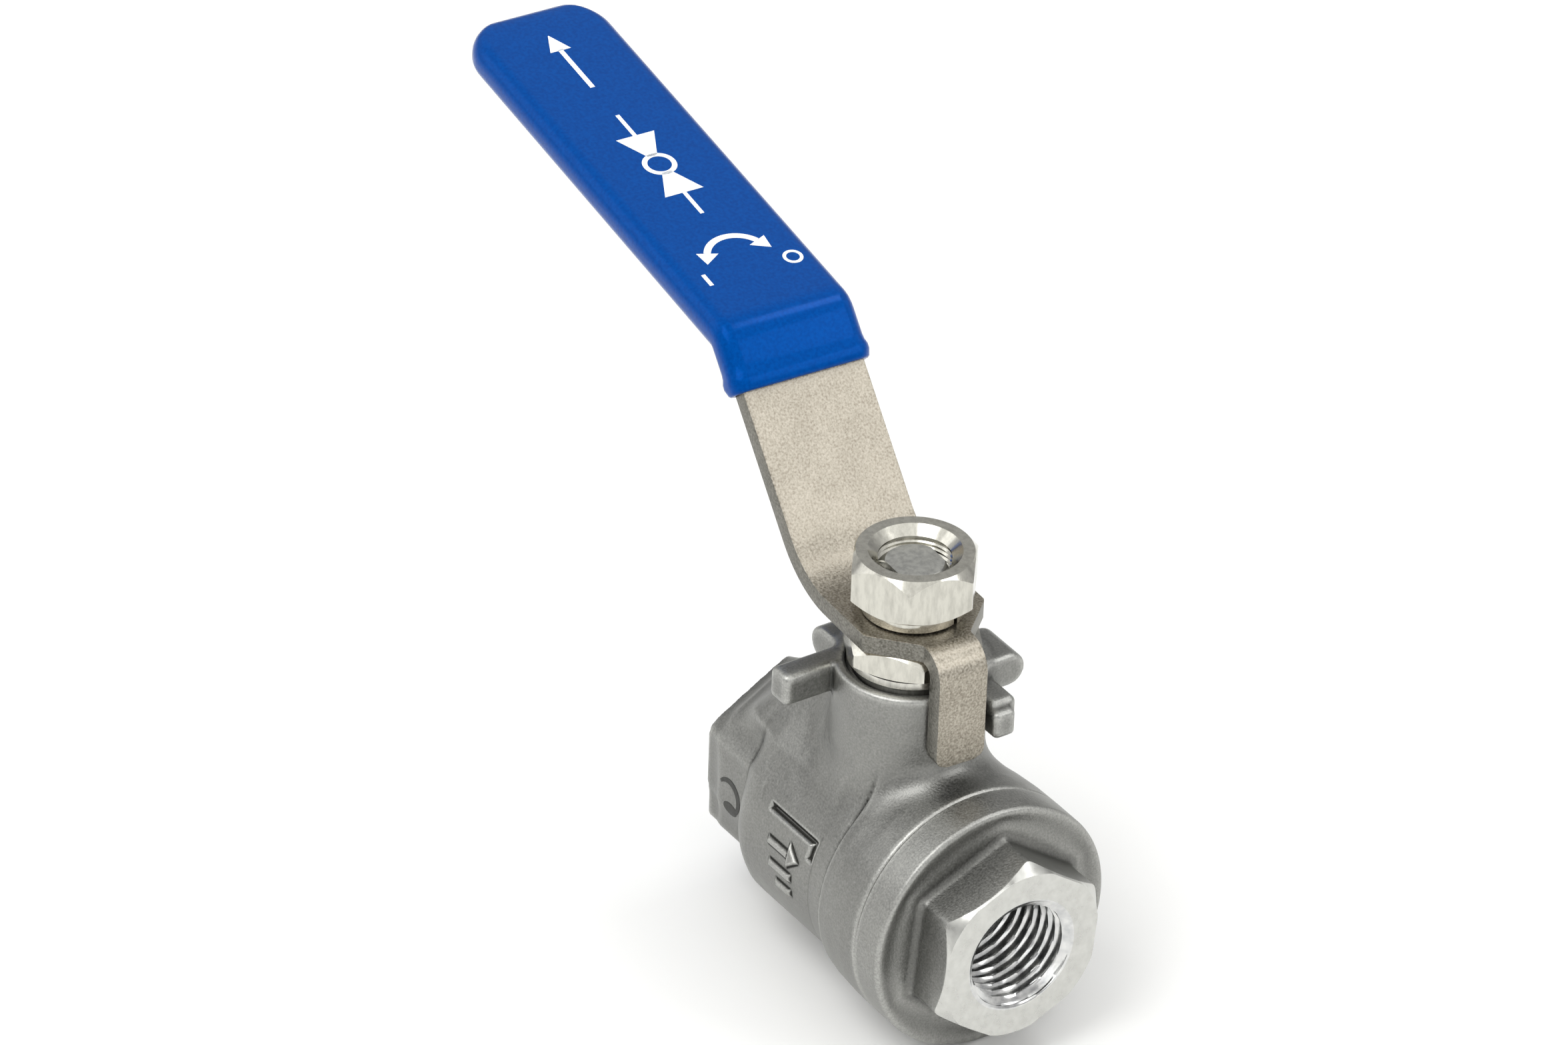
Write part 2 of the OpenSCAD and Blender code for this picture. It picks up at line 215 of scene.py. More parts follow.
def blastedCasting():
    # investment-cast stainless after bead blasting: even grey, dull sheen, fine pitted grain of
    # about 0.2 mm, faint lighter clouds some millimetres wide; ridges lightened as rubbed wear and
    # painted highlight, valleys darkened as grime and painted shade
    material, tree, shader, place = newMaterial("blasted_cast_stainless")
    grain = addNode(tree, "ShaderNodeTexNoise", None,
                    {"Vector": place, "Scale": every(0.238), "Detail": 2.0, "Roughness": 0.55})
    cloud = addNode(tree, "ShaderNodeTexNoise", None,
                    {"Vector": place, "Scale": every(7.69), "Detail": 4.0, "Roughness": 0.55})
    swell = addNode(tree, "ShaderNodeTexNoise", None,
                    {"Vector": place, "Scale": every(2.38), "Detail": 1.5})
    crease = addNode(tree, "ShaderNodeAttribute", {"attribute_name": "crease"})
    both = addNode(tree, "ShaderNodeMix", {"data_type": "FLOAT"},
                   {0: 0.3, 2: (grain, "Fac"), 3: (cloud, "Fac")})
    tint = addNode(tree, "ShaderNodeValToRGB", None, {"Fac": (both, 0)},
                   [(0.3, "#9A9A98"), (0.5, "#B0B0AE"), (0.7, "#C6C6C3")])
    spread = addNode(tree, "ShaderNodeMapRange", None,
                     {"Value": (crease, "Fac"), "From Min": -0.6, "From Max": 0.6})
    # painted shade in the valleys and painted highlight on the ridges, partly grime and rubbed wear
    wearAndPaintedLight = addNode(tree, "ShaderNodeValToRGB", None, {"Fac": (spread, "Result")},
                   [(0.0, "#4A4A48"), (0.3, "#9E9E9C"), (0.5, "#C4C4C2"), (0.8, "#F0F0EE")])
    tintWithWearAndPaintedLight = addNode(tree, "ShaderNodeMix", {"data_type": "RGBA", "blend_type": "MULTIPLY"},
                   {0: 1.0, 6: (tint, "Color"), 7: (wearAndPaintedLight, "Color")})
    rough = addNode(tree, "ShaderNodeMapRange", None,
                    {"Value": (grain, "Fac"), "From Min": 0.3, "From Max": 0.7, "To Min": 0.36,
                     "To Max": 0.48})
    broad = addNode(tree, "ShaderNodeBump", None,
                    {"Height": (swell, "Fac"), "Strength": 0.35, "Distance": 0.22 * mm})
    bump = addNode(tree, "ShaderNodeBump", None,
                   {"Height": (grain, "Fac"), "Strength": 0.5, "Distance": 0.06 * mm,
                    "Normal": (broad, "Normal")})
    setInputs(tree, shader, {"Base Color": (tintWithWearAndPaintedLight, 2), "Roughness": (rough, "Result"), "Metallic": 1.0,
                             "Normal": (bump, "Normal")})
    return material


def turnedFace(name, dark, light, roughness, ringGap=0.58):
    # stainless faced on a lathe: bright, with fine rings round the pipe axis; a wave texture's
    # scale is a tenth of pi over the gap between its rings
    material, tree, shader, place = newMaterial(name)
    rings = addNode(tree, "ShaderNodeTexWave",
                    {"wave_type": "RINGS", "rings_direction": "X", "wave_profile": "SIN"},
                    {"Vector": place, "Scale": math.pi / 10 * every(ringGap), "Distortion": 1.5,
                     "Detail": 2.0, "Detail Scale": 1.5})
    fleck = addNode(tree, "ShaderNodeTexNoise", None,
                    {"Vector": place, "Scale": every(1.11), "Detail": 3.0})
    tint = addNode(tree, "ShaderNodeValToRGB", None, {"Fac": (fleck, "Fac")}, [(0.3, dark), (0.7, light)])
    rough = addNode(tree, "ShaderNodeMapRange", None,
                    {"Value": (fleck, "Fac"), "From Min": 0.3, "From Max": 0.7,
                     "To Min": roughness, "To Max": roughness + 0.1})
    bump = addNode(tree, "ShaderNodeBump", None,
                   {"Height": (rings, "Fac"), "Strength": 0.12, "Distance": 0.03 * mm})
    setInputs(tree, shader, {"Base Color": (tint, "Color"), "Roughness": (rough, "Result"), "Metallic": 1.0,
                             "Normal": (bump, "Normal")})
    return material


def brightNut(name, dark, light, roughness, scratch=0.15):
    # cold-formed stainless nut: nearly mirror bright, slightly warm, with hair scratches along
    # its height and soft flow marks
    material, tree, shader, place = newMaterial(name)
    stretch = addNode(tree, "ShaderNodeMapping", None, {"Vector": place, "Scale": (1.0, 1.0, 0.3)})
    lines = addNode(tree, "ShaderNodeTexNoise", None,
                    {"Vector": (stretch, "Vector"), "Scale": every(0.667), "Detail": 4.0, "Roughness": 0.6})
    flow = addNode(tree, "ShaderNodeTexNoise", None,
                   {"Vector": place, "Scale": every(3.125), "Detail": 2.0})
    tint = addNode(tree, "ShaderNodeValToRGB", None, {"Fac": (lines, "Fac")}, [(0.3, dark), (0.6, light)])
    rough = addNode(tree, "ShaderNodeMapRange", None,
                    {"Value": (flow, "Fac"), "From Min": 0.3, "From Max": 0.7,
                     "To Min": roughness, "To Max": roughness + 0.12})
    both = addNode(tree, "ShaderNodeMix", {"data_type": "FLOAT"},
                   {0: 0.6, 2: (lines, "Fac"), 3: (flow, "Fac")})
    bump = addNode(tree, "ShaderNodeBump", None,
                   {"Height": (both, 0), "Strength": scratch, "Distance": 0.05 * mm})
    setInputs(tree, shader, {"Base Color": (tint, "Color"), "Roughness": (rough, "Result"), "Metallic": 1.0,
                             "Normal": (bump, "Normal")})
    return material


def tumbledPlate(name, stops):
    # stainless plate tumbled after stamping: warm grey, satin, peppered with light and dark
    # specks of about 0.3 mm; its sheared edges get a darker, greyer copy, as painted shade
    material, tree, shader, place = newMaterial(name)
    speck = addNode(tree, "ShaderNodeTexNoise", None,
                    {"Vector": place, "Scale": every(0.25), "Detail": 2.0, "Roughness": 0.5})
    cloud = addNode(tree, "ShaderNodeTexNoise", None,
                    {"Vector": place, "Scale": every(6.25), "Detail": 3.0})
    both = addNode(tree, "ShaderNodeMix", {"data_type": "FLOAT"},
                   {0: 0.18, 2: (speck, "Fac"), 3: (cloud, "Fac")})
    tint = addNode(tree, "ShaderNodeValToRGB", None, {"Fac": (both, 0)}, stops)
    rough = addNode(tree, "ShaderNodeMapRange", None,
                    {"Value": (speck, "Fac"), "From Min": 0.3, "From Max": 0.7, "To Min": 0.34,
                     "To Max": 0.5})
    bump = addNode(tree, "ShaderNodeBump", None,
                   {"Height": (speck, "Fac"), "Strength": 0.35, "Distance": 0.08 * mm})
    setInputs(tree, shader, {"Base Color": (tint, "Color"), "Roughness": (rough, "Result"), "Metallic": 1.0,
                             "Normal": (bump, "Normal")})
    return material


def dippedVinyl():
    # plastisol (soft PVC) dip coating: saturated blue, glossy, with a faint orange-peel skin
    # of 3 mm waves and tiny specks
    material, tree, shader, place = newMaterial("dipped_blue_vinyl")
    peel = addNode(tree, "ShaderNodeTexNoise", None, {"Vector": place, "Scale": every(3.03), "Detail": 1.5})
    speck = addNode(tree, "ShaderNodeTexNoise", None,
                    {"Vector": place, "Scale": every(0.385), "Detail": 2.0})
    tint = addNode(tree, "ShaderNodeValToRGB", None, {"Fac": (speck, "Fac")},
                   [(0.35, "#003C84"), (0.65, "#004490")])
    both = addNode(tree, "ShaderNodeMix", {"data_type": "FLOAT"},
                   {0: 0.2, 2: (peel, "Fac"), 3: (speck, "Fac")})
    bump = addNode(tree, "ShaderNodeBump", None,
                   {"Height": (both, 0), "Strength": 0.12, "Distance": 0.2 * mm})
    setInputs(tree, shader, {"Base Color": (tint, "Color"), "Roughness": 0.2, "IOR": 1.5,
                             "Specular IOR Level": 0.34, "Specular Tint": hexToLinear("#007CFF"),
                             "Coat Weight": 0.02, "Coat Roughness": 0.1, "Normal": (bump, "Normal")})
    return material


def plainPolymer(name, dark, light, roughness, grainSize=1.43, sheen=0.0):
    # moulded or skived polymer, or dried ink: waxy, almost even colour, very fine grain
    material, tree, shader, place = newMaterial(name)
    grain = addNode(tree, "ShaderNodeTexNoise", None,
                    {"Vector": place, "Scale": every(grainSize), "Detail": 3.0})
    tint = addNode(tree, "ShaderNodeValToRGB", None, {"Fac": (grain, "Fac")}, [(0.3, dark), (0.7, light)])
    bump = addNode(tree, "ShaderNodeBump", None,
                   {"Height": (grain, "Fac"), "Strength": 0.1, "Distance": 0.05 * mm})
    setInputs(tree, shader, {"Base Color": (tint, "Color"), "Roughness": roughness, "Sheen Weight": sheen,
                             "Normal": (bump, "Normal")})
    return material


casting = blastedCasting()
faced = turnedFace("faced_stainless", "#BCBCB8", "#CACAC6", 0.25)
threadSteel = turnedFace("cut_thread_stainless", "#B9BABB", "#DCDCDA", 0.12)
nutSteel = brightNut("bright_stainless_nut", "#B2B0A8", "#CAC8BF", 0.1, 0.1)
stemSteel = brightNut("turned_stainless_stem", "#A9A9A6", "#C9C9C4", 0.3)
springSteel = brightNut("bright_spring_steel", "#AFAEA9", "#D6D4CC", 0.2)
ballSteel = brightNut("polished_stainless_ball", "#C9CACB", "#E4E5E6", 0.06, 0.03)
plate = tumbledPlate("tumbled_stainless_plate", [(0.32, "#7E776C"), (0.5, "#A09A8E"), (0.68, "#BDB6AA")])
# darker, greyer copy of the plate for its edges: painted shade on its sides
plateEdgeShaded = tumbledPlate("stainless_plate_edge_painted_shade", [(0.32, "#5A5852"), (0.5, "#77756E"), (0.68, "#8F8D86")])
vinyl = dippedVinyl()
ptfe = plainPolymer("white_ptfe", "#DEDDD6", "#EDECE6", 0.42)
packingPtfe = plainPolymer("filled_ptfe_packing", "#CFC8B4", "#E0DAC8", 0.5)
sealRubber = plainPolymer("black_fluoro_rubber", "#141414", "#222222", 0.55, 1.11, 0.1)
whiteInk = plainPolymer("white_pad_print_ink", "#DDE3EA", "#F4F6F8", 0.5, 0.556)
markerInk = plainPolymer("dark_marker_ink", "#2E2E2B", "#3A3A37", 0.6, 0.417)
print("materials made")

keptNodes = {
    "rear_seat": ptfe, "front_seat": ptfe, "body_gasket": ptfe, "thrust_washer": ptfe,
    "ball": ballSteel, "stem": stemSteel, "stem_o_ring": sealRubber, "gland_ring": stemSteel,
    "packing_base_ring": packingPtfe, "packing_lower_vee_ring": packingPtfe,
    "packing_upper_vee_ring": packingPtfe, "packing_top_ring": packingPtfe,
    "lower_disc_spring": springSteel, "upper_disc_spring": springSteel,
}
for nodeName, nodeMaterial in keptNodes.items():
    node = frame["nodes"][nodeName]
    if not node.material_slots:
        node.data.materials.append(nodeMaterial)
    for materialSlot in node.material_slots:
        materialSlot.material = nodeMaterial


castBody = {
    "step": 0.33,            # cell of the sampling grid
    "barrel": 13.2,
    "collar": [(1.5, 13.2), (3.4, 13.45), (4.15, 13.5), (4.45, 13.4), (4.9, 14.15), (6.5, 14.42),
               (9.5, 14.66), (12.7, 14.72)],    # (x, radius) from the barrel to the flange's rim
    "shoulder": (-14.7, -10.9),     # where the barrel rises out of the rear hexagon
    "shoulderRise": 3.4,
    "barrelEnd": -19.5,
    "hexEnd": -12.0,
    "rearEnd": -23.14,       # the turned rear face stands just proud of this
    "upperFlat": (0.5, 0.866),      # normal of the hexagon's upper flats, across and up
    "ridge": (10.95, 0.827),        # height of the gusset's ridge at the rear face, rise per millimetre
    "gussetHalf": [(-23.2, 8.2), (-15.0, 8.4), (-7.0, 7.9), (-2.0, 6.5)],    # (x, half width)
    "gussetLean": (0.88, 0.52, 10.5),    # share of the width, lean of the sides, height it starts at
    "gussetTop": 23.4,
    "neckRadius": 8.35,
    "neckTop": 25.0,
    "closedLug": ((-6.5, -13.75, 21.2), (-3.3, 0, 25.0), 0.75),    # two corners and the rounding
    "openLug": ((0, 3.22, 19.8), (11.6, 5.95, 23.05), 0.65),
    "rib": ((0, 3.5, 20.2), (10.3, 6.9, 23.6), 0.8),
    "ear": {"reach": 11.4, "nose": 1.95, "middle": 2.0, "half": 3.2, "edge": 0.5},
    "blend": 3.2,            # radius where neck, barrel and gusset flow together
    "pipeBores": [(7.1, -40, -12.1), (5.5, -40, 0), (9.0, -9.6, 9.6), (9.9, -5.8, 5.8), (11.35, 5.2, 40)],
    "stemBores": [(5.2, 0, 12.6), (4.2, 0, 60), (6.35, 16.0, 60), (7.05, 24.4, 60)],    # radius, from, to
}
castMarkPatch = {
    "centre": (-3.9, -0.7), "half": (7.4, 7.6), "raised": 0.42, "sunk": 0.45,
    "cornerBars": [(0.4, -5.0, 4.2, 0.36), (4.6, -4.1, 0.36, 1.2)],    # centre and half size
    "raisedBars": [(-0.6, -1.6, 1.9, 0.36), (0.0, 0.9, 1.9, 0.36), (0.6, 2.9, 1.3, 0.36)],
    "arrowHead": (1.2, 3.0, -1.6, 1.3),    # base, tip, height of its middle, bluntness
}


def blend(a, b, k):
    # smooth union: the lower of a and b, less k/4 times the square of their closeness
    h = np.maximum(k - np.abs(a - b), 0) / k
    return np.minimum(a, b) - h * h * k / 4


def overlap(a, b, k):
    # smooth intersection: the smooth union of the outsides, turned inside out
    return -blend(-a, -b, k)


def hexDistance(y, z, flats, k=0.55):
    # pointy-up hexagon: smooth maximum of the distances to its three pairs of flats
    pairs = [np.abs(y * math.cos(a) + z * math.sin(a)) - flats for a in np.radians([0.0, 60.0, 120.0])]
    return overlap(overlap(pairs[0], pairs[1], k), pairs[2], k)


def boxDistance(x, y, z, low, high, r):
    # rounded box between two corners: length of the overshoot past a smaller box, less r
    centre = (np.array(low) + np.array(high)) / 2
    half = (np.array(high) - np.array(low)) / 2 - r
    q = [np.abs(c - centre[i]) - half[i] for i, c in enumerate((x, y, z))]
    outside = np.sqrt(sum(np.maximum(c, 0) ** 2 for c in q))
    return outside + np.minimum(np.maximum(np.maximum(q[0], q[1]), q[2]), 0) - r


def boreDistance(r, along, bores):
    # the nearest of some cylinders on one axis, each a radius between two places
    return np.min([np.maximum(r - radius, np.maximum(low - along, along - high))
                   for radius, low, high in bores], 0)


def earDistance(x, y, z):
    # D-nosed ear reaching out along +Y, its top level with the neck
    e = castBody["ear"]
    along = np.maximum(y - (e["reach"] - e["nose"]), 0)
    profile = np.sqrt(along ** 2 + (z - castBody["neckTop"] + e["nose"]) ** 2) - e["nose"]
    sides = np.abs(x - e["middle"]) - e["half"]
    return overlap(overlap(profile, sides, e["edge"]), -y, 0.3)


def markWindow(x, y, z):
    # 1 under the cast mark's own fine surface, falling to 0 at its border, in (x, t): t runs
    # round the barrel from its -Y side, downwards
    m = castMarkPatch
    t = np.arctan2(-z, -y) * castBody["barrel"]
    far = np.maximum(np.abs(x - m["centre"][0]) - m["half"][0], np.abs(t - m["centre"][1]) - m["half"][1])
    return smoothStep((-far - 1.5) / 0.8) * (y < 0)


def castShape(points, window=True):
    # signed distance of the casting: barrel and flange of revolution, rear hexagon, gusset,
    # neck, lugs and ears, flowing into each other, less its bores; with the window it is also
    # cut back under the cast mark's own surface
    x, y, z = points[..., 0], points[..., 1], points[..., 2]
    c = castBody
    r = np.hypot(y, z)
    upright = np.hypot(x, y)
    shoulder = np.clip((x - c["shoulder"][0]) / (c["shoulder"][1] - c["shoulder"][0]), 0, 1)
    outline = np.interp(x, *np.transpose(c["collar"]))
    outline = outline - c["shoulderRise"] * (1 - np.sqrt(1 - (1 - shoulder) ** 2))
    barrel = overlap(r - outline, np.maximum(x - valve["jointX"] + 0.02, c["barrelEnd"] - x), 0.35)
    hexEnd = overlap(hexDistance(y, z, valve["flats"]), np.maximum(x - c["hexEnd"], c["rearEnd"] - x), 0.12)
    ridge = c["ridge"][0] + c["ridge"][1] * (x - valve["portRear"])
    # the roof carries on the hexagon's upper flats, over 1.23 because its ridge rises
    roof = (c["upperFlat"][0] * np.abs(y) + c["upperFlat"][1] * (z - ridge)) / 1.23
    share, lean, start = c["gussetLean"]
    side = np.abs(y) - np.interp(x, *np.transpose(c["gussetHalf"])) + lean * np.maximum(z - start, 0)
    ends = np.maximum(np.maximum(-z, c["rearEnd"] - x), x + 2)
    gusset = overlap(overlap(overlap(roof, share * side, 1.6), ends, 0.3), z - c["gussetTop"], 1.0)
    neck = overlap(upright - c["neckRadius"], np.maximum(z - c["neckTop"], -z), 0.5)
    shape = blend(blend(barrel, gusset, 3.0), hexEnd, 2.6)
    shape = blend(shape, neck, c["blend"])
    openLug = np.minimum(boxDistance(x, y, z, *c["openLug"]), boxDistance(x, y, z, *c["rib"]))
    shape = blend(shape, openLug, 0.8)
    shape = blend(shape, boxDistance(x, y, z, *c["closedLug"]), 0.3)
    shape = blend(shape, np.minimum(earDistance(x, y, z), earDistance(-y, -x, z)), 0.8)
    hollow = np.minimum(boreDistance(r, x, c["pipeBores"]), boreDistance(upright, z, c["stemBores"]))
    shape = overlap(shape, -hollow, 0.35)
    return shape + 0.5 * markWindow(x, y, z) if window else shape


def settle(points, outward):
    # slides points along their outward directions onto the casting's uncut surface
    for _ in range(14):
        points = points - 0.7 * castShape(points, False)[..., None] * outward
    return points


def surfaceNets(shape, low, high, step):
    # one point per grid cell that the surface crosses, one quad per grid edge that it crosses;
    # then five rounds of easing towards the neighbours and stepping back onto the surface
    axes = [np.arange(low[i], high[i] + step, step) for i in range(3)]
    field = np.empty([len(a) for a in axes], np.float32)
    for i in range(0, len(axes[0]), 16):
        block = np.stack(np.meshgrid(axes[0][i:i + 16], axes[1], axes[2], indexing="ij"), -1)
        field[i:i + 16] = shape(block)
    inside = field < 0
    cells = np.zeros([n - 1 for n in field.shape], np.int8)
    for dx in (0, 1):
        for dy in (0, 1):
            for dz in (0, 1):
                cells += inside[dx:dx + cells.shape[0], dy:dy + cells.shape[1], dz:dz + cells.shape[2]]
    active = (cells > 0) & (cells < 8)
    number = np.full(cells.shape, -1, np.int32)
    number[active] = np.arange(active.sum())
    where = np.argwhere(active)
    points = (where + 0.5) * step + np.array([a[0] for a in axes])
    quads = []
    for axis in range(3):
        b, c = (axis + 1) % 3, (axis + 2) % 3
        first = np.take(inside, range(field.shape[axis] - 1), axis)
        second = np.take(inside, range(1, field.shape[axis]), axis)
        edges = np.argwhere(first != second)
        keep = (edges[:, b] > 0) & (edges[:, c] > 0)
        keep &= (edges[:, b] < field.shape[b] - 1) & (edges[:, c] < field.shape[c] - 1)
        edges = edges[keep]
        ahead = first[tuple(edges.T)]
        corners = []
        for db, dc in ((-1, -1), (0, -1), (0, 0), (-1, 0)):
            cell = edges.copy()
            cell[:, b] += db
            cell[:, c] += dc
            corners.append(number[tuple(cell.T)])
        quad = np.stack(corners, -1)
        quads.append(np.where(ahead[:, None], quad, quad[:, ::-1]))
    quads = np.concatenate(quads)
    pairs = np.concatenate([quads[:, [0, 1]], quads[:, [1, 2]], quads[:, [2, 3]], quads[:, [3, 0]]])
    both = np.concatenate([pairs, pairs[:, ::-1]])
    count = np.bincount(both[:, 0], minlength=len(points))[:, None]
    for _ in range(5):
        total = np.stack([np.bincount(both[:, 0], points[both[:, 1], k], len(points))
                          for k in range(3)], -1)
        points = points * 0.4 + total / count * 0.6
        for _ in range(2):
            points = stepOnto(shape, points, step)
    return points, quads


def stepOnto(shape, points, step, eps=0.02):
    # Newton step along the gradient, no longer than half a cell
    value = shape(points)
    slope = np.stack([shape(points + eps * d) - value for d in np.eye(3)], -1) / eps
    size = np.maximum((slope ** 2).sum(-1), 0.05)
    move = -value[:, None] * slope / size[:, None]
    length = np.linalg.norm(move, axis=1)[:, None]
    return points + move * np.minimum(1, 0.5 * step / np.maximum(length, 1e-9))


bodyPoints, bodyQuads = surfaceNets(castShape, (-23.6, -15.5, -15.5), (13.4, 15.5, 25.9), castBody["step"])
body = makePiece("valve_body_casting", bodyPoints, bodyQuads, "valve_body", casting,
                 ("body",), weld=False)
markCreases(body)


def castMark(s, t):
    # height of the mark over the barrel, from the distance to its strokes: a sunk corner line,
    # and in it a raised flow arrow with two short bars, all generic
    m = castMarkPatch

    def nearest(bars):
        # distance to the nearest of some rectangles
        return np.min([np.maximum(np.abs(s - cs) - hs, np.abs(t - ct) - ht) for cs, ct, hs, ht in bars], 0)

    base, tip, middle, bluntness = m["arrowHead"]
    head = np.maximum(np.abs(t - middle) * bluntness + (s - tip), base - s)
    arrow = np.minimum(nearest(m["raisedBars"]), head)
    return (m["raised"] * smoothStep(0.5 - arrow / 0.5)
            - m["sunk"] * smoothStep(0.5 - nearest(m["cornerBars"]) / 0.45))


def markSurface(m):
    # the casting's surface over (s, t) plus the height of the mark, its border tucked just under
    s, t = (np.linspace(-m["half"][k], m["half"][k], 150) for k in (0, 1))
    s, t = np.meshgrid(s, t, indexing="ij")
    border = np.maximum(np.abs(s) - m["half"][0], np.abs(t) - m["half"][1])
    angle = (t + m["centre"][1]) / castBody["barrel"]
    along = s + m["centre"][0]
    outward = np.stack([0 * s, -np.cos(angle), -np.sin(angle)], -1)
    start = outward * (castBody["barrel"] + 0.4)
    ground = settle(start + np.stack([along, 0 * s, 0 * s], -1), outward)
    height = 0.008 + castMark(s, t) - 0.03 * smoothStep(1 + border / 1.5)
    return ground + outward * height[..., None]


markGrid = markSurface(castMarkPatch)
mark = makePiece("cast_flow_mark", markGrid, gridFaces(*markGrid.shape[:2]), "valve_body",
                 casting, weld=False)
markCreases(mark)
solidify(mark, 0.18, offset=-1.0)


def hexRadius(theta, flats, turn, power):
    # radius of a hexagon with softened corners: flats over the p-norm of the cosines to its
    # three pairs of flats
    angles = np.radians(np.array([0.0, 60.0, 120.0]) + turn)
    return flats / (np.abs(np.cos(theta[:, None] - angles)) ** power).sum(1) ** (1 / power)


def threadRadius(x, theta, side):
    # female pipe thread: a blunted triangle wave between crest and root, one turn per pitch,
    # cut back by the countersunk mouth
    v = valve
    phase = (x / v["pitch"] - theta / (2 * math.pi)) % 1.0
    wave = np.clip(np.abs(2 * phase - 1) * 1.35 - 0.175, 0, 1)
    radius = v["threadCrest"] + (v["threadRoot"] - v["threadCrest"]) * wave
    end = v["portFront"] if side > 0 else -v["portRear"]
    mouth = v["mouth"] - (end - side * x) * v["mouthSlope"]
    runOut = smoothStep(side * x - (end - v["portDepth"]))
    radius = v["threadCrest"] + (radius - v["threadCrest"]) * runOut
    return np.maximum(radius, mouth)


def revolve(rows, theta):
    # each row is a pair (x, r), a number or an array over theta
    grid = np.empty((len(rows), len(theta), 3))
    for i, (x, r) in enumerate(rows):
        grid[i, :, 0] = x
        grid[i, :, 1] = r * np.cos(theta)
        grid[i, :, 2] = r * np.sin(theta)
    return grid


def portRows(theta, turn, side, flats, chamfered=True):
    # bore, thread, mouth, turned face, chamfer and hexagon, from the inside out; the chamfer
    # drops from its length at the flats to its length at the corners
    v = valve
    end = v["portFront"] if side > 0 else -v["portRear"]
    hexR = hexRadius(theta, flats, turn, 42)
    rows = [(side * x, threadRadius(side * x, theta, side))
            for x in np.linspace(end - v["portDepth"], end, 94)]
    rim = np.minimum(v["faceRadius"], hexR - v["chamferWidth"])
    if not chamfered:
        rim = hexR - 0.2
    rows += [(side * end, v["mouth"] + (rim - v["mouth"]) * t) for t in (0.05, 0.5, 0.95)]
    rows += [(side * end, rim)]
    cornerShare = (hexR - flats) / (hexR.max() - flats)
    drop = v["chamferLength"][0] + (v["chamferLength"][1] - v["chamferLength"][0]) * cornerShare * chamfered
    rows += [(side * (end - drop * t), rim + (hexR - rim) * t) for t in (0.06, 0.5, 0.94, 1.0)]
    return rows, hexR, drop, end


endCap = {
    "turn": -5.5,            # of the hexagon, where the cap tightens up
    "root": 16.9,            # front of the collar
    "fillet": 0.9, "rim": 0.5, "dish": 0.17,
    "inside": [(6.5, 8.82), (9.4, 8.8), (9.4, 5.5), (11.4, 5.5)],    # (x, radius) of seat pocket and way
    "shank": 11.18,
}
theta = np.radians(np.arange(0, 360, 1.25) + 90 + endCap["turn"])
rows, hexR, drop, end = portRows(theta, endCap["turn"], 1, valve["flats"])
flatEnd = endCap["root"] + endCap["fillet"]
flatRows = [((end - drop) * (1 - t) + flatEnd * t, hexR) for t in (0.04, 0.35, 0.7, 1.0)]
fillet = endCap["fillet"]
filletRows = [(endCap["root"] + fillet * (1 - math.sin(a)), hexR + fillet * (1 - math.cos(a)))
              for a in np.linspace(0, math.pi / 2, 7)[1:]]
rimStart = valve["flange"] - endCap["rim"]
collarFace = [(endCap["root"] - endCap["dish"] * math.sin(math.pi * t ** 1.3) ** 2,
               (hexR + fillet) * (1 - t) + rimStart * t) for t in np.linspace(0.08, 1.0, 12)]
rimRows = [(endCap["root"] - endCap["rim"] * (1 - math.cos(a)), rimStart + endCap["rim"] * math.sin(a))
           for a in np.linspace(0, math.pi / 2, 5)[1:]]
back = [(valve["jointX"] + 0.6, valve["flange"]), (valve["jointX"] + 0.15, valve["flange"]),
        (valve["jointX"], valve["flange"] - 0.15), (valve["jointX"], endCap["shank"]),
        (endCap["inside"][0][0], endCap["shank"])]
capGrid = revolve(endCap["inside"] + rows + flatRows + filletRows + collarFace + rimRows + back, theta)
cap = makePiece("end_cap_casting", capGrid, gridFaces(len(capGrid), len(theta), True, True),
                "valve_body", casting, ("end_cap",), sharp=32)
cap.data.materials.append(faced)
cap.data.materials.append(threadSteel)


def paintByPlace(piece, test, index):
    # gives a material index to the faces whose centres pass the test
    mesh = piece.data
    centres = np.empty(len(mesh.polygons) * 3)
    mesh.polygons.foreach_get("center", centres)
    centres = (centres.reshape(-1, 3) - ballCentre) / mm
    slots = np.empty(len(mesh.polygons), np.int32)
    mesh.polygons.foreach_get("material_index", slots)
    normals = np.empty(len(mesh.polygons) * 3)
    mesh.polygons.foreach_get("normal", normals)
    slots[test(centres, normals.reshape(-1, 3))] = index
    mesh.polygons.foreach_set("material_index", slots)
    mesh.update()


def onFace(side):
    # the turned face and its chamfer
    end = valve["portFront"] if side > 0 else -valve["portRear"]

    def test(c, n):
        r = np.hypot(c[:, 1], c[:, 2])
        radial = (n[:, 1] * c[:, 1] + n[:, 2] * c[:, 2]) / r
        outer = (side * n[:, 0] > 0.25) & (side * c[:, 0] > end - 2.2) & (r > valve["mouth"] + 0.02)
        return outer & (radial > -0.3)
    return test


def inThread(side):
    # the thread, its run-out and the countersunk mouth
    end = valve["portFront"] if side > 0 else -valve["portRear"]

    def test(c, n):
        r = np.hypot(c[:, 1], c[:, 2])
        return (side * c[:, 0] > end - valve["portDepth"] - 2) & (r < valve["mouth"] + 0.02)
    return test


markCreases(cap)
paintByPlace(cap, onFace(1), 1)
paintByPlace(cap, inThread(1), 2)

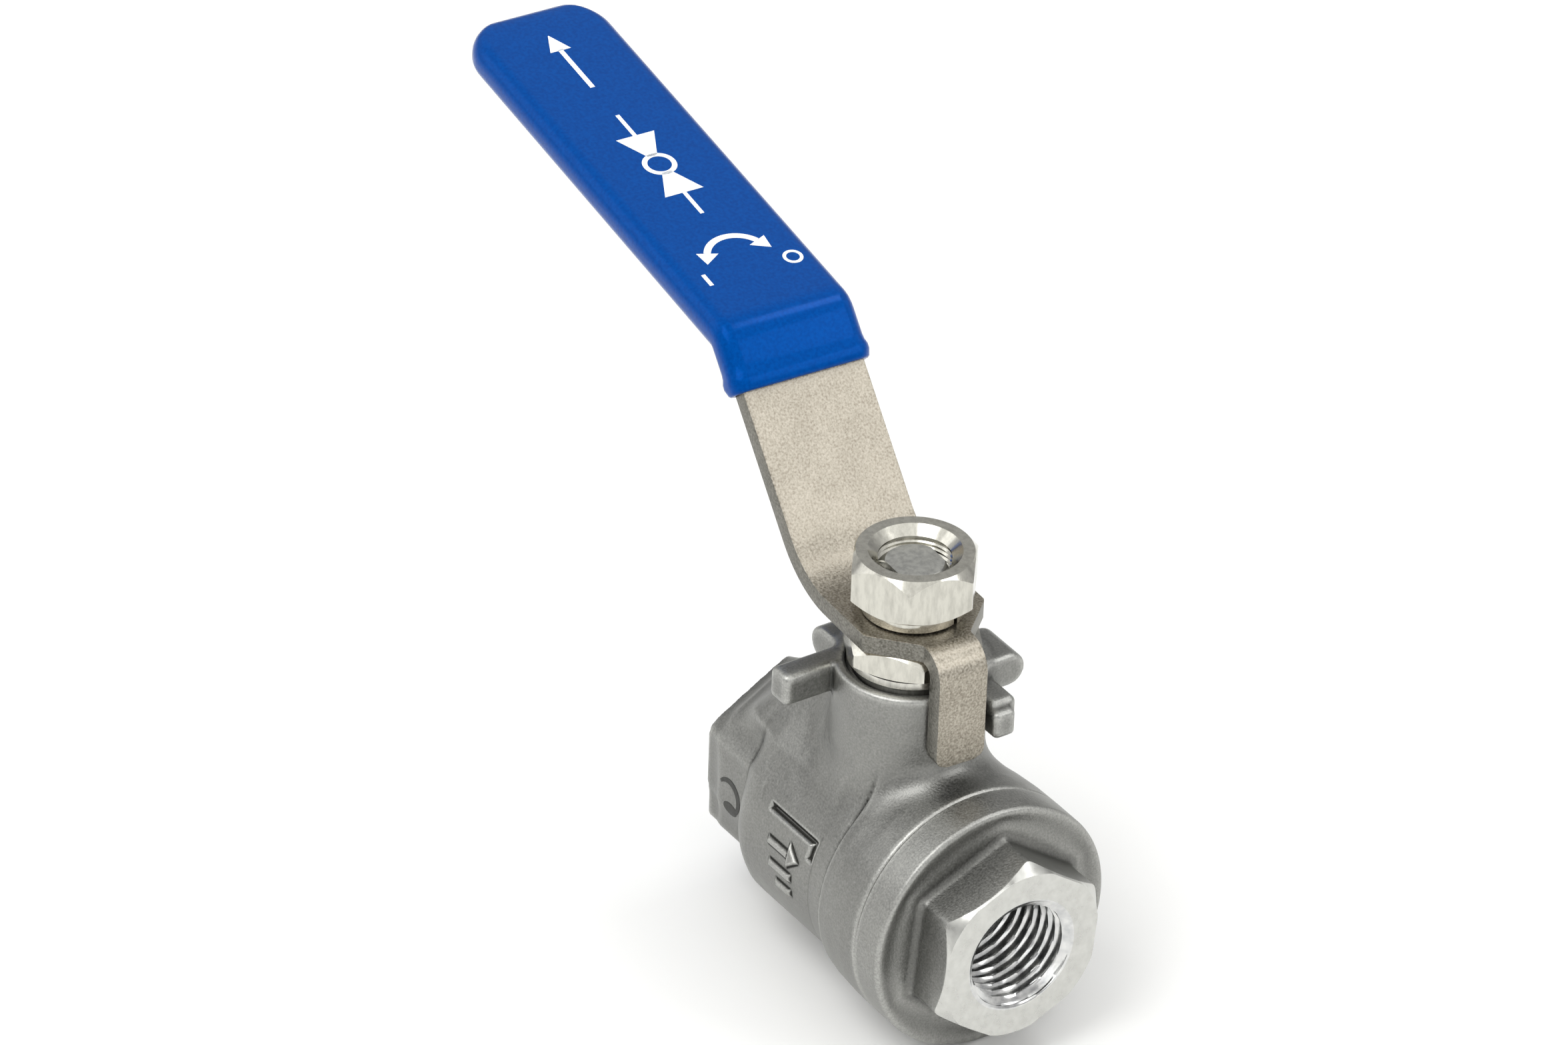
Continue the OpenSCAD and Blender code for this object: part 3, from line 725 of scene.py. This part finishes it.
rearFacing = {
    "under": 0.3,            # how far its flats lie under the casting's
    "inside": [(-12.2, 7.15), (-12.0, 6.9), (-12.0, 5.5), (-12.15, 5.5)],
    "skirt": [-22.8, -22.2],
    "back": [(-22.2, 8.5), (-22.2, 7.15)],
}
rearTheta = np.radians(np.arange(0, 360, 1.25) + 90)
rows, hexR, drop, end = portRows(rearTheta, 0.0, -1, valve["flats"] - rearFacing["under"], False)
skirt = [(x, hexR) for x in rearFacing["skirt"]]
rearGrid = revolve(rearFacing["inside"] + rows + skirt + rearFacing["back"], rearTheta)
rear = makePiece("rear_port_facing", rearGrid, gridFaces(len(rearGrid), len(rearTheta), True, True),
                 "valve_body", casting, sharp=32)
rear.data.materials.append(faced)
rear.data.materials.append(threadSteel)
markCreases(rear)
paintByPlace(rear, onFace(-1), 1)
paintByPlace(rear, inThread(-1), 2)


inspectionTick = {"centre": (-18.2, -0.1), "radius": 2.0, "width": 0.5, "blob": (-17.8, -1.5),
                  "blobHalf": (1.3, 0.75), "rows": 6}


def inkStrokes(s):
    # an arc of uneven width, and a flat oval blot below it, on the rear hexagon's -Y flat
    turn = np.radians(np.linspace(140, -40, 26))
    wide = s["width"] * (0.5 + np.sin(np.linspace(0.3, 2.6, 26)))
    arc = np.stack([np.cos(turn), np.sin(turn)], -1)
    inner = arc * (s["radius"] - wide[:, None] / 2) + np.array(s["centre"])
    outer = arc * (s["radius"] + wide[:, None] / 2) + np.array(s["centre"])
    halfTurn = np.radians(np.linspace(180, 0, 26))
    x = s["blob"][0] + s["blobHalf"][0] * np.cos(halfTurn)
    lift = s["blobHalf"][1] * np.sin(halfTurn) + 0.02
    low = np.stack([x, s["blob"][1] - lift], -1)
    high = np.stack([x, s["blob"][1] + lift], -1)
    share = np.linspace(0, 1, s["rows"])[:, None, None]
    flat = np.stack([outer * (1 - share) + inner * share, high * (1 - share) + low * share])
    start = np.stack([flat[..., 0], np.full(flat.shape[:-1], -11.5), flat[..., 1]], -1)
    return settle(start, np.array([0, -1.0, 0])) - np.array([0, 0.03, 0])


strokes = inkStrokes(inspectionTick)
strokeFaces = gridFaces(*strokes.shape[1:3], flip=True)
makePiece("inspection_tick", strokes,
          np.concatenate([strokeFaces, strokeFaces + strokes.shape[1] * strokes.shape[2]]), "valve_body",
          markerInk, outward=False)


def hexNut(name, s, replaced):
    # rows from the bottom bore out over the chamfered hexagon to the top and back down the bore;
    # a chamfer drops by the tangent of its angle times the distance out from its circle
    angle = np.radians(np.arange(0, 360, 1.5) + s["turn"])
    hexR = hexRadius(angle, s["flats"], s["turn"] + 30, 90)
    drop = (hexR - s["topCircle"]) * math.tan(math.radians(s["chamfer"]))
    under = drop * 0.6
    low, high, circle, bore, depth = s["low"], s["high"], s["topCircle"], s["bore"], s["sinkDepth"]
    facet = (0.08, 0.5, 0.92, 1.0)    # steps across a facet, closer at its edges
    rows = [(low + 0.5, bore), (low, bore + 0.5), (low, circle - 0.1), (low, circle)]
    rows += [(low + under * t, circle + (hexR - circle) * t) for t in facet]
    rows += [((low + under) * (1 - t) + (high - drop) * t, hexR) for t in (0.05, 0.35, 0.65, 0.95, 1.0)]
    rows += [(high - drop * (1 - t), hexR + (circle - hexR) * t) for t in facet]
    rows += [(high, circle * (1 - t) + s["sink"] * t) for t in facet]
    rows += [(high - depth * t, s["sink"] + (bore - s["sink"]) * t) for t in facet]
    rows += [(z, bore + 0.35 * wave) for z, wave in    # the thread, drawn as plain ridges
             zip(np.linspace(high - depth - 0.2, low + 0.7, 14), [0, 1] * 7)]
    grid = np.empty((len(rows), len(angle), 3))
    for i, (z, r) in enumerate(rows):
        grid[i] = np.stack([r * np.cos(angle), r * np.sin(angle), np.broadcast_to(z, angle.shape)], -1)
    return makePiece(name, grid, gridFaces(len(rows), len(angle), True, True), "stem_and_lever",
                     nutSteel, (replaced,), sharp=28)


handleNut = {"flats": 6.5, "turn": -38.4, "low": 33.3, "high": 38.85, "topCircle": 6.38, "chamfer": 52,
             "sink": 5.1, "sinkDepth": 0.95, "bore": 4.02}
glandNut = {"flats": 7.0, "turn": -24.3, "low": 26.4, "high": 29.4, "topCircle": 6.85, "chamfer": 40,
            "sink": 4.5, "sinkDepth": 0.5, "bore": 4.02}
hexNut("handle_nut_hex", handleNut, "handle_nut")
hexNut("gland_nut_hex", glandNut, "gland_nut")

springWasher = {"inner": 4.15, "outer": 5.7, "low": 31.55, "high": 33.3, "gap": 6.0, "gapAt": 18.0,
                "lift": 0.12, "edge": 0.25}


def splitWasher(s):
    # rounded rectangle carried round the stem on a slight helix, closed at both ends of the gap
    steps = 150
    turn = np.radians(np.linspace(s["gap"] / 2, 360 - s["gap"] / 2, steps) + s["gapAt"])
    rise = np.linspace(-1, 1, steps) * s["lift"]
    corner = np.radians(np.arange(0, 360, 15) + 7.5)
    half = ((s["outer"] - s["inner"]) / 2, (s["high"] - s["low"]) / 2)
    u = np.sign(np.cos(corner)) * (half[0] - s["edge"]) + s["edge"] * np.cos(corner)
    w = np.sign(np.sin(corner)) * (half[1] - s["edge"] - s["lift"] * 0.5) + s["edge"] * np.sin(corner)
    turn = np.concatenate([turn[:1], turn, turn[-1:]])
    rise = np.concatenate([rise[:1], rise, rise[-1:]])
    shrink = np.concatenate([[0], np.ones(steps), [0]])    # closes the section at both ends
    radius = (s["inner"] + s["outer"]) / 2 + u[None] * shrink[:, None]
    level = (s["low"] + s["high"]) / 2 + w[None] * shrink[:, None] + rise[:, None]
    return np.stack([radius * np.cos(turn)[:, None], radius * np.sin(turn)[:, None], level], -1)


washerGrid = splitWasher(springWasher)
makePiece("split_spring_washer", washerGrid, gridFaces(*washerGrid.shape[:2], False, True),
          "stem_and_lever", nutSteel, ("spring_washer",), sharp=35)


leverPlate = {
    "thickness": 2.1, "half": 7.5, "tabHalf": 2.95, "tabX": 9.65, "tabLow": 17.8, "tabCorner": 1.3,
    "head": 30.5, "bladeFoot": -10.45, "gripFoot": -28.9, "bladeAngle": 48.6, "gripAngle": 7.4,
    "reach": 85.0, "endCorner": 5.0, "bends": (2.1, 11.0, 2.6), "hole": 4.1,
    "shoulder": (2.4, 6.9),    # where the head narrows to the tab
    "edge": 0.22,
}
riseBlade = math.tan(math.radians(leverPlate["bladeAngle"]))
riseGrip = math.tan(math.radians(leverPlate["gripAngle"]))
gripLevel = leverPlate["head"] + (leverPlate["bladeFoot"] - leverPlate["gripFoot"]) * riseBlade


def onBlade(x):
    # a point of the blade's middle line: its height falls off from the head by the blade's slope
    return (x, leverPlate["head"] + (leverPlate["bladeFoot"] - x) * riseBlade)


def onGrip(x):
    # the same on the grip's middle line
    return (x, gripLevel + (leverPlate["gripFoot"] - x) * riseGrip)


def bentLine(points, radii, spacing):
    # straight runs joined by tangent arcs, as points in the XZ plane a spacing apart, with
    # the unit normal on the upper side and the length run so far
    points = [np.array(p, float) for p in points]
    line = [points[0]]
    for before, here, after, radius in zip(points, points[1:], points[2:], radii):
        u, v = here - before, after - here
        u, v = u / np.linalg.norm(u), v / np.linalg.norm(v)
        turn = math.atan2(u[0] * v[1] - u[1] * v[0], u @ v)
        side = np.array([-u[1], u[0]]) * math.copysign(1, turn)
        centre = here - u * radius * math.tan(abs(turn) / 2) + side * radius
        a = np.linspace(0, abs(turn), 24)[:, None]
        line += list(centre - side * radius * np.cos(a) + u * radius * np.sin(a))
    line.append(points[-1])
    line = np.array(line)
    run = np.concatenate([[0], np.cumsum(np.linalg.norm(np.diff(line, axis=0), axis=1))])
    even = np.linspace(0, run[-1], int(run[-1] / spacing) + 1)
    out = np.stack([np.interp(even, run, line[:, k]) for k in (0, 1)], -1)
    ahead = np.gradient(out, even, axis=0)
    ahead /= np.linalg.norm(ahead, axis=1)[:, None]
    return out, np.stack([ahead[:, 1], -ahead[:, 0]], -1), even


def makeLever(s):
    # half width along the plate's bent middle line, crossed with a grid from edge to edge; the
    # stem hole is left out and its rim drawn onto the circle
    corners = [(s["tabX"], s["tabLow"]), (s["tabX"], s["head"]), (s["bladeFoot"], s["head"]),
               (s["gripFoot"], gripLevel), onGrip(-s["reach"])]
    line, _, run = bentLine(corners, s["bends"], 0.4)
    taper = np.interp(line[:, 0], s["shoulder"], (s["half"], s["tabHalf"]))
    half = roundEnd(np.where(line[:, 0] < 0, s["half"], taper), s["tabCorner"], run)
    half = roundEnd(half, s["endCorner"], run[-1] - run)
    t = np.linspace(-1, 1, 39)
    grid = np.empty((len(line), len(t), 3))
    grid[..., 0] = line[:, :1]
    grid[..., 2] = line[:, 1:]
    grid[..., 1] = half[:, None] * t
    flat = grid.reshape(-1, 3)
    quads = gridFaces(len(line), len(t))
    near = np.hypot(flat[:, 0], flat[:, 1])
    cut = (near < s["hole"]) & (flat[:, 2] > s["head"] - 0.5) & (flat[:, 2] < s["head"] + 0.5)
    gone = cut[quads].any(1)
    rim = np.intersect1d(quads[gone].ravel(), quads[~gone].ravel())
    flat[rim, :2] *= (s["hole"] / near[rim])[:, None]
    return turnZ(flat, valve["restTurn"]), quads[~gone]


leverPoints, leverQuads = makeLever(leverPlate)
lever = makePiece("lever_plate", leverPoints, leverQuads, "stem_and_lever", plate,
                  ("lever",))
# the plate's edges take the darker copy: painted shade
lever.data.materials.append(plateEdgeShaded)
solidify(lever, leverPlate["thickness"], leverPlate["edge"], rimSlot=1)


sleeveCoat = {
    "half": 8.5, "thick": 2.1, "reach": 86.44, "mouth": -24.9, "corner": 5.5, "edge": 1.95, "bend": 1.9,
    "lip": 0.9,              # thickness of the skin at the mouth
    "lipReach": 0.45,
    "bead": (0.22, 0.8, 0.7),    # height, place and width of the swelling round the mouth
}


def makeSleeve(s):
    # rounded bar section carried along the grip: outer skin from its far end to the mouth,
    # a rolled lip, then the inner wall a little way back in
    corners = [onBlade(s["mouth"]), (leverPlate["gripFoot"], gripLevel), onGrip(-s["reach"])]
    line, up, run = bentLine(corners, (s["bend"],), 0.55)
    left = run[-1] - run
    corner = np.radians(np.linspace(0, 360, 72, endpoint=False) + 2.5)
    cu, cw = np.sign(np.cos(corner)), np.sign(np.sin(corner))
    tip = np.sqrt(np.maximum(1 - np.maximum(1 - left / s["thick"], 0) ** 2, 0))
    bead = s["bead"][0] * np.exp(-((run - s["bead"][1]) / s["bead"][2]) ** 2)
    half = roundEnd(s["half"], s["corner"], left) + bead
    thick = s["thick"] * tip + bead

    def section(i, halfWidth, thickness, edge):
        # one closed ring across the grip, its four corners rounded
        edge = min(edge, halfWidth, thickness)
        across = cu * (halfWidth - edge) + edge * np.cos(corner)
        rise = cw * (thickness - edge) + edge * np.sin(corner)
        spot = line[i] + rise[:, None] * up[i]
        return np.stack([spot[:, 0], across, spot[:, 1]], -1)

    last = len(line) - 1
    outer = [section(i, half[i], max(thick[i], 1e-4), s["edge"]) for i in range(last, -1, -1)]
    ahead = line[0] - line[1]
    ahead /= np.linalg.norm(ahead)
    lip = []
    for a in np.linspace(0, math.pi, 7)[1:-1]:
        shrink = (1 - math.cos(a)) / 2
        ring = section(0, half[0] - s["lip"] * shrink, thick[0] - s["lip"] * shrink,
                       s["edge"] - 0.4 * shrink)
        reach = s["lipReach"] * math.sin(a)
        lip.append(ring + np.array([ahead[0] * reach, 0, ahead[1] * reach]))
    inner = [section(i, half[0] - s["lip"], thick[0] - s["lip"], 0.9) for i in (0, 3, 8)]
    pole = section(8, 1e-4, 1e-4, 1e-4)
    grid = np.array(outer + lip + inner + [pole])
    return turnZ(grid, valve["restTurn"])


sleeveGrid = makeSleeve(sleeveCoat)
makePiece("grip_sleeve", sleeveGrid, gridFaces(*sleeveGrid.shape[:2], False, True),
          "stem_and_lever", vinyl, ("lever_sleeve",), sharp=60)


gripPrint = {
    "turnAt": 9.4, "turnRadii": (3.1, 3.9), "turnHalf": 62,    # two-way arrow
    "turnTip": (1.7, 0.9), "turnBarb": (0.45, 1.15),
    "ringAt": (7.0, 5.3), "ringRadii": (0.75, 1.15),           # shut
    "barAt": (7.0, -5.35), "barHalf": (1.0, 0.25),             # open
    "symbolAt": 27.0, "symbolRadii": (1.35, 1.95),             # ball valve: ring, two wings, two lines
    "wing": (1.5, 5.5, 0.55, 2.4), "line": (5.5, 9.5, 0.25),
    "shaft": [(42.0, 0.3), (49.5, 0.3)], "head": [(49.3, 1.3), (52.2, 0.05)],    # flow arrow
    "lift": 0.015,           # ink over the sleeve
}


def gripPatch(outline):
    # quads given in (a, b) on the grip's flat top, a from the bend towards the far end and b
    # across it, laid just over the sleeve
    a, b = outline[..., 0], outline[..., 1]
    slope = math.radians(leverPlate["gripAngle"])
    direction = np.array([-math.cos(slope), math.sin(slope)])
    up = np.array([math.sin(slope), math.cos(slope)])
    base = np.array([leverPlate["gripFoot"], gripLevel]) + up * (sleeveCoat["thick"] + gripPrint["lift"])
    return turnZ(np.stack([base[0] + direction[0] * a, b, base[1] + direction[1] * a], -1),
                 valve["restTurn"])


def printSymbols(s):
    # generic signs in white ink, as rings and four-cornered patches: a two-way turning arrow
    # between a ring (shut) and a bar (open), the drawing symbol of a ball valve, a flow arrow
    patches = []

    def ring(radii, centre, start, stop, steps):
        # the band between two radii, from one angle to another
        turn = np.radians(np.linspace(start, stop, steps))
        circle = np.stack([np.cos(turn), np.sin(turn)], -1)
        patches.append(np.stack([circle * radii[0], circle * radii[1]]) + np.array(centre))

    def quad(*corners):
        # one four-cornered patch, clockwise so that it faces up
        a, b, c, d = (np.array(corner, float) for corner in corners)
        patches.append(np.array([[a, b], [d, c]]))

    def band(*ends):
        # a strip along the grip's middle between two (place, half width) ends
        (start, halfStart), (stop, halfStop) = sorted(ends)
        quad((start, -halfStart), (start, halfStart), (stop, halfStop), (stop, -halfStop))

    half = math.radians(s["turnHalf"])
    middle = sum(s["turnRadii"]) / 2
    ring(s["turnRadii"], (s["turnAt"], 0.0), -s["turnHalf"], s["turnHalf"], 24)
    ring(s["ringRadii"], s["ringAt"], 0, 360, 40)
    ring(s["symbolRadii"], (s["symbolAt"], 0.0), 0, 360, 48)
    (x, y), (w, h) = s["barAt"], s["barHalf"]
    quad((x - w, y - h), (x - w, y + h), (x + w, y + h), (x + w, y - h))
    for way in (-1, 1):
        root = np.array([s["turnAt"] + middle * math.cos(half), way * middle * math.sin(half)])
        barb = np.array([way * s["turnBarb"][0], s["turnBarb"][1]])
        tip = root + np.array([-s["turnTip"][0], way * s["turnTip"][1]])
        quad(tip, root + barb, root, root - barb)
        near, far, narrow, wide = s["wing"]
        band((s["symbolAt"] + way * near, narrow), (s["symbolAt"] + way * far, wide))
        near, far, thin = s["line"]
        band((s["symbolAt"] + way * near, thin), (s["symbolAt"] + way * far, thin))
    band(*s["shaft"])
    band(*s["head"])
    points, quads, offset = [], [], 0
    for patch in patches:
        rows, cols = patch.shape[:2]
        points.append(gripPatch(patch).reshape(-1, 3))
        quads.append(gridFaces(rows, cols) + offset)
        offset += rows * cols
    return np.concatenate(points), np.concatenate(quads)


inkPoints, inkQuads = printSymbols(gripPrint)
makePiece("grip_print", inkPoints, inkQuads, "stem_and_lever", whiteInk, outward=False)


studioFloor = {"level": -14.9, "half": 6.0, "cloud": 333.3}    # half its side in metres
studioCamera = {
    "azimuth": 55.452, "elevation": 32.953, "roll": 2.07, "distance": 1030.0,
    "aimRight": -12.75, "aimUp": 35.39, "lens": 218.7, "sensor": 36.0,
}
softboxes = {    # azimuth, elevation, distance and side in metres, watts
    "key_softbox": (10, 55, 0.9, 0.5, 3.1),
    "top_softbox": (172, 62, 0.9, 0.22, 0.9),
    "left_softbox": (-40, 30, 0.9, 0.5, 0.6),
    "right_softbox": (125, 35, 0.9, 0.4, 1.3),
    "front_softbox": (75, 8, 1.0, 0.4, 0.5),
}
room = {
    "tones": [(0.0, "#D8D8D6"), (0.22, "#9C9C9C"), (0.75, "#F4F4F2")],    # from the horizon up
    "darkSide": (-0.62, 0.45, 0.64), "darkReach": (0.4, 0.88), "strength": (1.38, 0.74),
}


def makeFloor(s):
    # painted studio floor: matt, nearly white and even, one square sheet
    material, tree, shader, place = newMaterial("pale_studio_floor")
    tone = addNode(tree, "ShaderNodeTexNoise", None, {"Vector": place, "Scale": every(s["cloud"])})
    tint = addNode(tree, "ShaderNodeValToRGB", None, {"Fac": (tone, "Fac")},
                   [(0.3, "#F4F4F3"), (0.7, "#F8F8F7")])
    setInputs(tree, shader, {"Base Color": (tint, "Color"), "Roughness": 0.9})
    size, level = s["half"], s["level"] * mm
    mesh = bpy.data.meshes.new("studio_floor")
    mesh.from_pydata([(-size, -size, level), (size, -size, level), (size, size, level),
                      (-size, size, level)],
                     [], [(0, 1, 2, 3)])
    mesh.materials.append(material)
    floor = bpy.data.objects.new("studio_floor", mesh)
    bpy.context.scene.collection.objects.link(floor)


def softLight(name, azimuth, elevation, distance, size, power):
    # square softbox at an azimuth and elevation round the valve, facing it
    data = bpy.data.lights.new(name, "AREA")
    data.shape = "SQUARE"
    data.size = size
    data.energy = power
    a, e = math.radians(azimuth), math.radians(elevation)
    away = Vector((math.sin(a) * math.cos(e), -math.cos(a) * math.cos(e), math.sin(e)))
    lamp = bpy.data.objects.new(name, data)
    lamp.location = Vector(ballCentre) + away * distance + Vector((0, 0, 0.02))
    lamp.rotation_mode = "QUATERNION"
    lamp.rotation_quaternion = away.to_track_quat("Z", "Y")
    bpy.context.scene.collection.objects.link(lamp)


def makeCamera(s):
    # the aim point lies aimRight and aimUp from the ball's centre, as the camera sees it
    a, e, roll = (math.radians(s[k]) for k in ("azimuth", "elevation", "roll"))
    backward = Vector((math.sin(a) * math.cos(e), -math.cos(a) * math.cos(e), math.sin(e)))
    right = Vector((math.cos(a), math.sin(a), 0))
    up = backward.cross(right)
    right, up = right * math.cos(roll) + up * math.sin(roll), up * math.cos(roll) - right * math.sin(roll)
    place = backward * s["distance"] + right * s["aimRight"] + up * s["aimUp"]
    data = bpy.data.cameras.new("studio_camera")
    data.lens = s["lens"]
    data.sensor_width = s["sensor"]
    data.clip_start, data.clip_end = 0.05, 20
    camera = bpy.data.objects.new("studio_camera", data)
    turn = Matrix((right, up, backward)).transposed()
    camera.matrix_world = Matrix.Translation(Vector(ballCentre) + place * mm) @ turn.to_4x4()
    bpy.context.scene.collection.objects.link(camera)
    bpy.context.scene.camera = camera


def makeRoom(s):
    # a pale room, grey round the horizon and white overhead, with a darker part high up behind
    # the lever: its strength falls as the direction nears the dark side's
    world = bpy.data.worlds.new("studio_world")
    world.use_nodes = True
    tree = world.node_tree
    direction = (addNode(tree, "ShaderNodeTexCoord"), "Generated")
    parts = addNode(tree, "ShaderNodeSeparateXYZ", None, {"Vector": direction})
    tones = addNode(tree, "ShaderNodeValToRGB", None, {"Fac": (parts, "Z")}, s["tones"])
    nearness = addNode(tree, "ShaderNodeVectorMath", {"operation": "DOT_PRODUCT"},
                       {0: direction, 1: s["darkSide"]})
    strength = addNode(tree, "ShaderNodeMapRange", {"interpolation_type": "SMOOTHSTEP"},
                       {"Value": (nearness, "Value"), "From Min": s["darkReach"][0],
                        "From Max": s["darkReach"][1],
                        "To Min": s["strength"][0], "To Max": s["strength"][1]})
    setInputs(tree, tree.nodes["Background"], {"Color": (tones, "Color"), "Strength": (strength, "Result")})
    bpy.context.scene.world = world


makeFloor(studioFloor)
for name, spec in softboxes.items():
    softLight(name, *spec)
makeRoom(room)
makeCamera(studioCamera)
bpy.context.scene.view_settings.view_transform = "Standard"
print("stage, lights and camera set")
